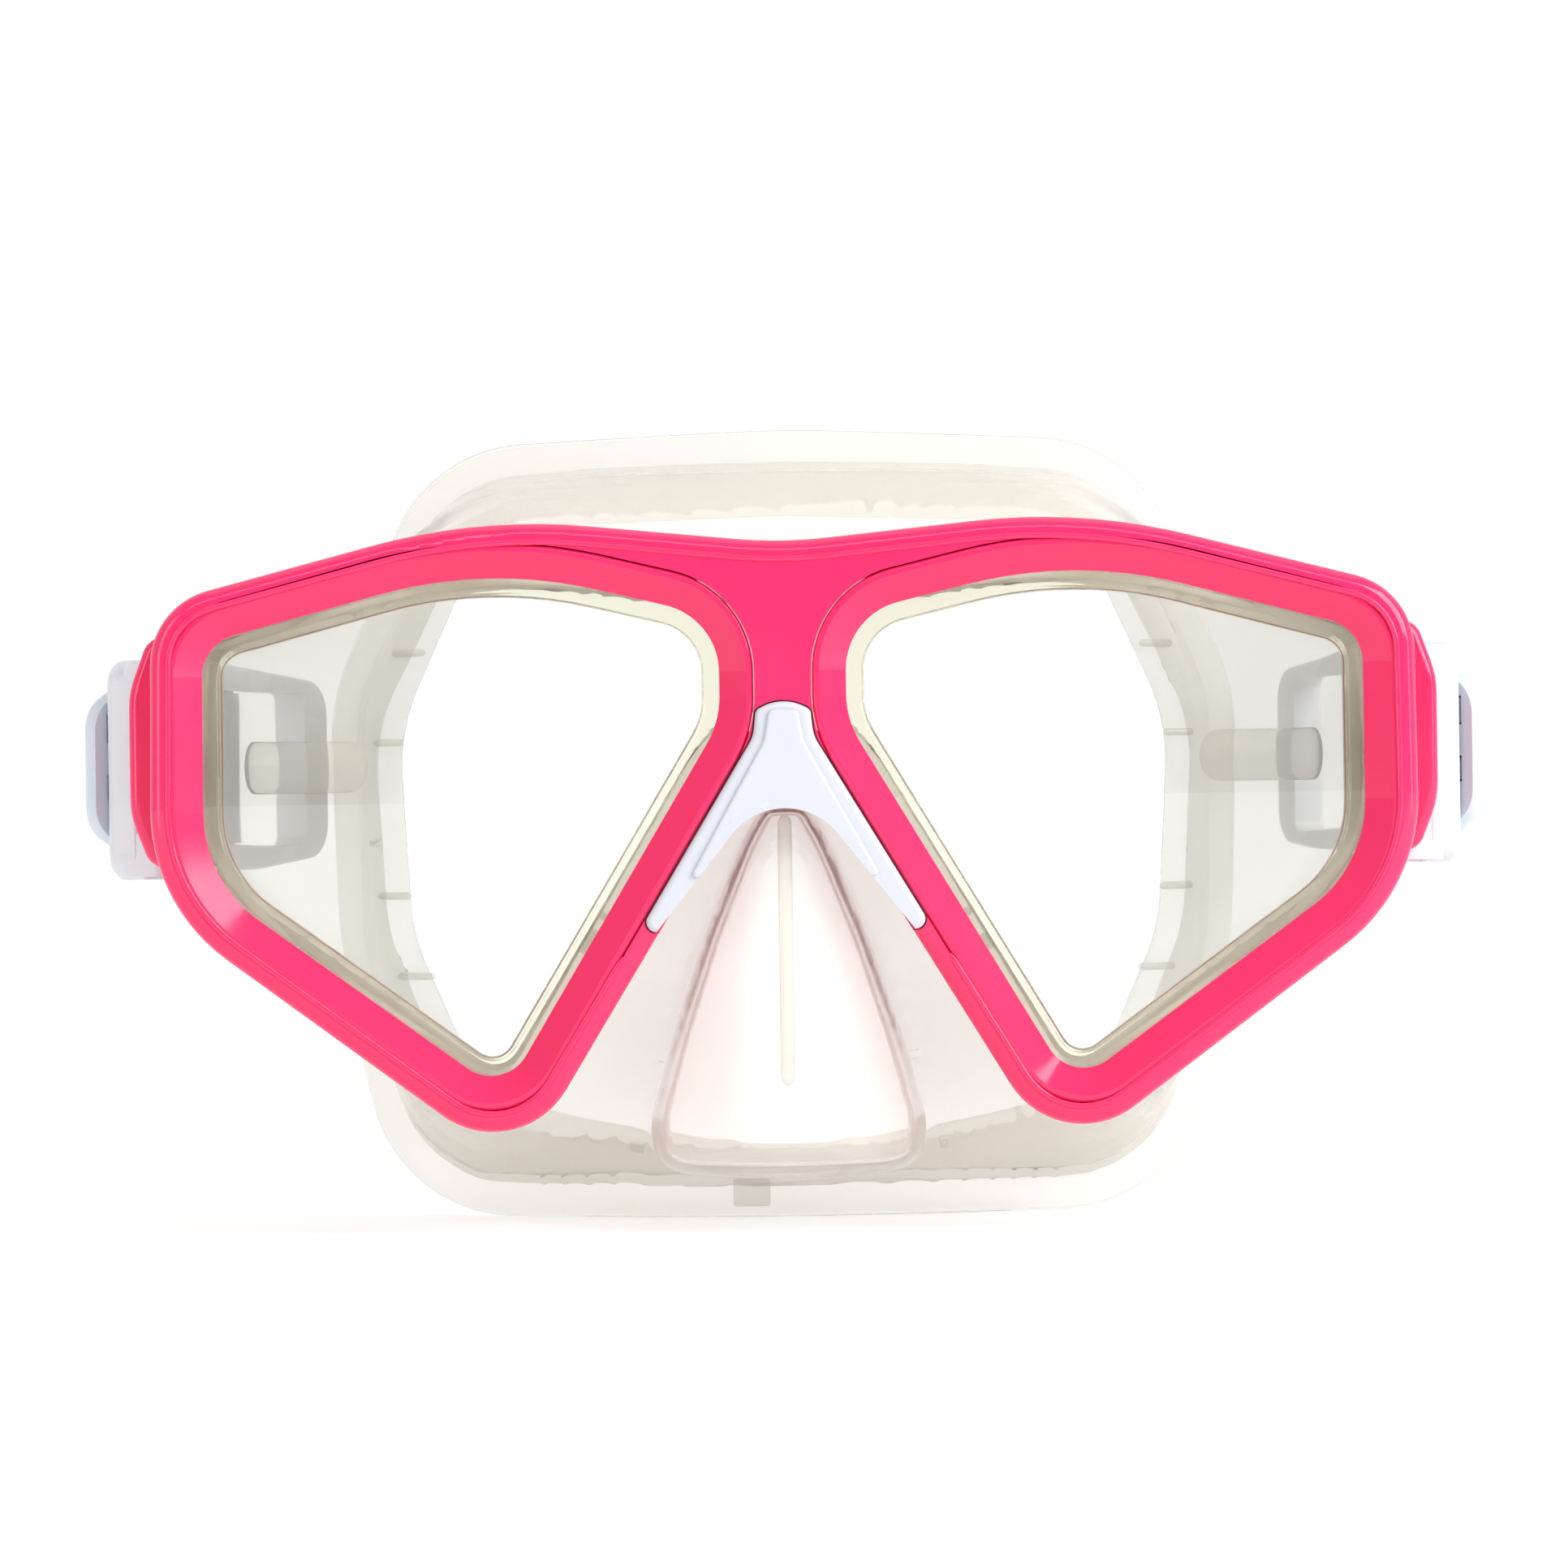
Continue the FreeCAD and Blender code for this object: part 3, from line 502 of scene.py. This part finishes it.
line = traced(grown(FRAME, -BEAD_INSET), FINE, 24)
under_clip = [index for index, p in enumerate(line) if abs(p.x) < CLIP_HALF and p.y < CLIP_TOP]
line = line[under_clip[-1] + 1:] + line[:under_clip[0]]
bead_path = [(p.x, BEAD_DEPTH, p.y) for p in line]
bead = bar("rim_bead", bead_path, BACKWARDS, 0.3, 0.4, round_end=0.004, steps=420)
smooth_faces(bead, 60)
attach(bead, "mask")


# ------------------------------------------------------------------ finishes

def linear(red, green, lever_white_painted_shade):
    """A colour given in steps of 255, as the shader wants it."""
    tones = [((tone / 255 + 0.055) / 1.055) ** 2.4 if tone > 10 else tone / 255 / 12.92
             for tone in (red, green, lever_white_painted_shade)]
    return tones + [1.0]


def finish(name, **sockets):
    material = bpy.data.materials.new(name)
    material.use_nodes = True
    shader = material.node_tree.nodes["Principled BSDF"]
    for key, value in sockets.items():
        shader.inputs[key.replace("_", " ").title().replace("Ior", "IOR")].default_value = value
    return material, shader


def noise_over(material, scale, detail):
    """Soft noise that is fixed to the piece."""
    nodes, links = material.node_tree.nodes, material.node_tree.links
    place = nodes.new("ShaderNodeTexCoord")
    noise = nodes.new("ShaderNodeTexNoise")
    noise.inputs["Scale"].default_value = scale
    noise.inputs["Detail"].default_value = detail
    links.new(place.outputs["Object"], noise.inputs["Vector"])
    return noise


def ranged(nodes, low_in, high_in, low_out, high_out):
    """A node that stretches one range of values to another."""
    spread = nodes.new("ShaderNodeMapRange")
    spread.inputs["From Min"].default_value = low_in
    spread.inputs["From Max"].default_value = high_in
    spread.inputs["To Min"].default_value = low_out
    spread.inputs["To Max"].default_value = high_out
    return spread


def speckled(material, shader, scale, low, high):
    """Roughness that varies softly over the piece."""
    links = material.node_tree.links
    noise = noise_over(material, scale, 6.0)
    spread = ranged(material.node_tree.nodes, 0.3, 0.7, low, high)
    links.new(noise.outputs["Fac"], spread.inputs["Value"])
    links.new(spread.outputs["Result"], shader.inputs["Roughness"])


def clouded(material, shader, one, two, scale):
    """Colour that drifts softly between two close tones."""
    links = material.node_tree.links
    noise = noise_over(material, scale, 4.0)
    blend = material.node_tree.nodes.new("ShaderNodeMix")
    blend.data_type = "RGBA"
    blend.inputs["A"].default_value = linear(*one)
    blend.inputs["B"].default_value = linear(*two)
    links.new(noise.outputs["Fac"], blend.inputs["Factor"])
    links.new(blend.outputs["Result"], shader.inputs["Base Color"])


pink, shader = finish("pink_plastic", ior=1.48)
clouded(pink, shader, (237, 46, 103), (234, 42, 98), 40.0)
speckled(pink, shader, 60.0, 0.07, 0.15)
white, shader = finish("white_plastic", ior=1.5)
clouded(white, shader, (206, 209, 217), (201, 204, 213), 50.0)
speckled(white, shader, 80.0, 0.18, 0.3)
grey, shader = finish("buckle_plastic", ior=1.5)
clouded(grey, shader, (215, 218, 223), (211, 214, 220), 50.0)
speckled(grey, shader, 80.0, 0.2, 0.32)
# The lever is the same white plastic as the buckle body. Its darker, bluer tone is painted shade for the
# part of the buckle that lies further back.
lever_white_painted_shade, shader = finish("lever_plastic", ior=1.5)
clouded(lever_white_painted_shade, shader, (206, 213, 222), (202, 209, 219), 50.0)
speckled(lever_white_painted_shade, shader, 80.0, 0.2, 0.32)
steel, shader = finish("steel", base_color=linear(190, 190, 195), metallic=1.0)
speckled(steel, shader, 400.0, 0.2, 0.35)
roller_grey, shader = finish("roller_plastic", ior=1.5)
clouded(roller_grey, shader, (200, 204, 210), (194, 198, 205), 60.0)
speckled(roller_grey, shader, 80.0, 0.3, 0.45)
silicone, shader = finish("clear_silicone", ior=1.06, transmission_weight=0.78, roughness=0.1)
clouded(silicone, shader, (245, 243, 239), (242, 239, 233), 25.0)
soft_rim, shader = finish("silicone_rim", ior=1.1, transmission_weight=0.92, roughness=0.12)
clouded(soft_rim, shader, (253, 248, 232), (248, 242, 222), 60.0)
glass, shader = finish("tempered_glass", ior=1.45, transmission_weight=1.0, roughness=0.0)
clouded(glass, shader, (252, 255, 254), (250, 254, 253), 20.0)

# The first of these words in a node's name decides its finish.
NODE_FINISHES = [
    ("frame", pink),
    ("bezel", pink),
    ("lens", glass),
    ("bridge_clip", white),
    ("buckle_body", grey),
    ("release_lever", lever_white_painted_shade),
    ("strap_roller", roller_grey),
    ("pin", steel),
]


def wear(piece, material):
    piece.data.materials.clear()
    piece.data.materials.append(material)


wear(skirt, silicone)
wear(bead, pink)
for seat in seats:
    wear(seat, soft_rim)
for name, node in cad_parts.items():
    for word, material in NODE_FINISHES:
        if word in name:
            wear(node, material)
            break


# ------------------------------------------------------------------ studio

WHITE = (1.0, 1.0, 1.0, 1.0)
floor_material, shader = finish("pale_floor", base_color=(0.6, 0.6, 0.6, 1.0), roughness=0.9,
                                emission_color=WHITE)
nodes, links = floor_material.node_tree.nodes, floor_material.node_tree.links
place = nodes.new("ShaderNodeTexCoord")
distance = nodes.new("ShaderNodeVectorMath")
distance.operation = "LENGTH"
links.new(place.outputs["Object"], distance.inputs[0])
glow = ranged(nodes, 0.2, 1.6, 0.5, 0.8)      # the floor is brighter further away
links.new(distance.outputs["Value"], glow.inputs["Value"])
links.new(glow.outputs["Result"], shader.inputs["Emission Strength"])
deselect()
bpy.ops.mesh.primitive_circle_add(vertices=96, radius=30.0, fill_type="NGON", location=(0, 0, 0))
floor = bpy.context.active_object
floor.name = "floor"
wear(floor, floor_material)

# The room is dimmer in front of the mask than behind it, and white where it is seen directly.
world = bpy.data.worlds.new("studio")
world.use_nodes = True
nodes, links = world.node_tree.nodes, world.node_tree.links
sky = nodes["Background"]
sky.inputs["Color"].default_value = WHITE
ray = nodes.new("ShaderNodeLightPath")
seen = nodes.new("ShaderNodeMath")
seen.operation = "MAXIMUM"
links.new(ray.outputs["Is Camera Ray"], seen.inputs[0])
links.new(ray.outputs["Is Transmission Ray"], seen.inputs[1])
way = nodes.new("ShaderNodeTexCoord")
parts = nodes.new("ShaderNodeSeparateXYZ")
links.new(way.outputs["Generated"], parts.inputs["Vector"])
brightness = ranged(nodes, -0.7, 0.5, 0.2, 0.9)
links.new(parts.outputs["Y"], brightness.inputs["Value"])
strength = nodes.new("ShaderNodeMix")
strength.data_type = "FLOAT"
strength.inputs["B"].default_value = 1.1
links.new(seen.outputs[0], strength.inputs["Factor"])
links.new(brightness.outputs["Result"], strength.inputs["A"])
links.new(strength.outputs["Result"], sky.inputs["Strength"])
bpy.context.scene.world = world


def soft_box(name, place, width, height, power):
    """An area light that looks at the middle of the mask."""
    data = bpy.data.lights.new(name, "AREA")
    data.shape = "RECTANGLE"
    data.size, data.size_y, data.energy = width, height, power
    light = bpy.data.objects.new(name, data)
    light.location = place
    light.rotation_mode = "QUATERNION"
    light.rotation_quaternion = (at(0, 10, 0) - place).to_track_quat("-Z", "Y")
    bpy.context.collection.objects.link(light)


soft_box("key", at(900, -650, 620), 0.8, 0.9, 14.0)
soft_box("fill", at(-900, -700, 250), 0.4, 0.9, 3.5)
soft_box("strip_over", at(120, -620, 620), 1.3, 0.12, 2.0)
soft_box("strip_side", at(1000, -420, 60), 0.12, 1.0, 2.0)
soft_box("top", at(0, 100, 1100), 1.0, 0.6, 1.0)

LENS_LENGTH = 177.3
SENSOR_WIDTH = 36.0
CAMERA_ROLL = 0.8          # degrees about the line of sight
camera_data = bpy.data.cameras.new("camera")
camera_data.lens = LENS_LENGTH
camera_data.sensor_width = SENSOR_WIDTH
camera = bpy.data.objects.new("camera", camera_data)
camera.location = at(0, -1000, 0)
camera.rotation_euler = (math.radians(90), math.radians(CAMERA_ROLL), 0)
bpy.context.collection.objects.link(camera)
bpy.context.scene.camera = camera
bpy.context.scene.view_settings.view_transform = "Standard"
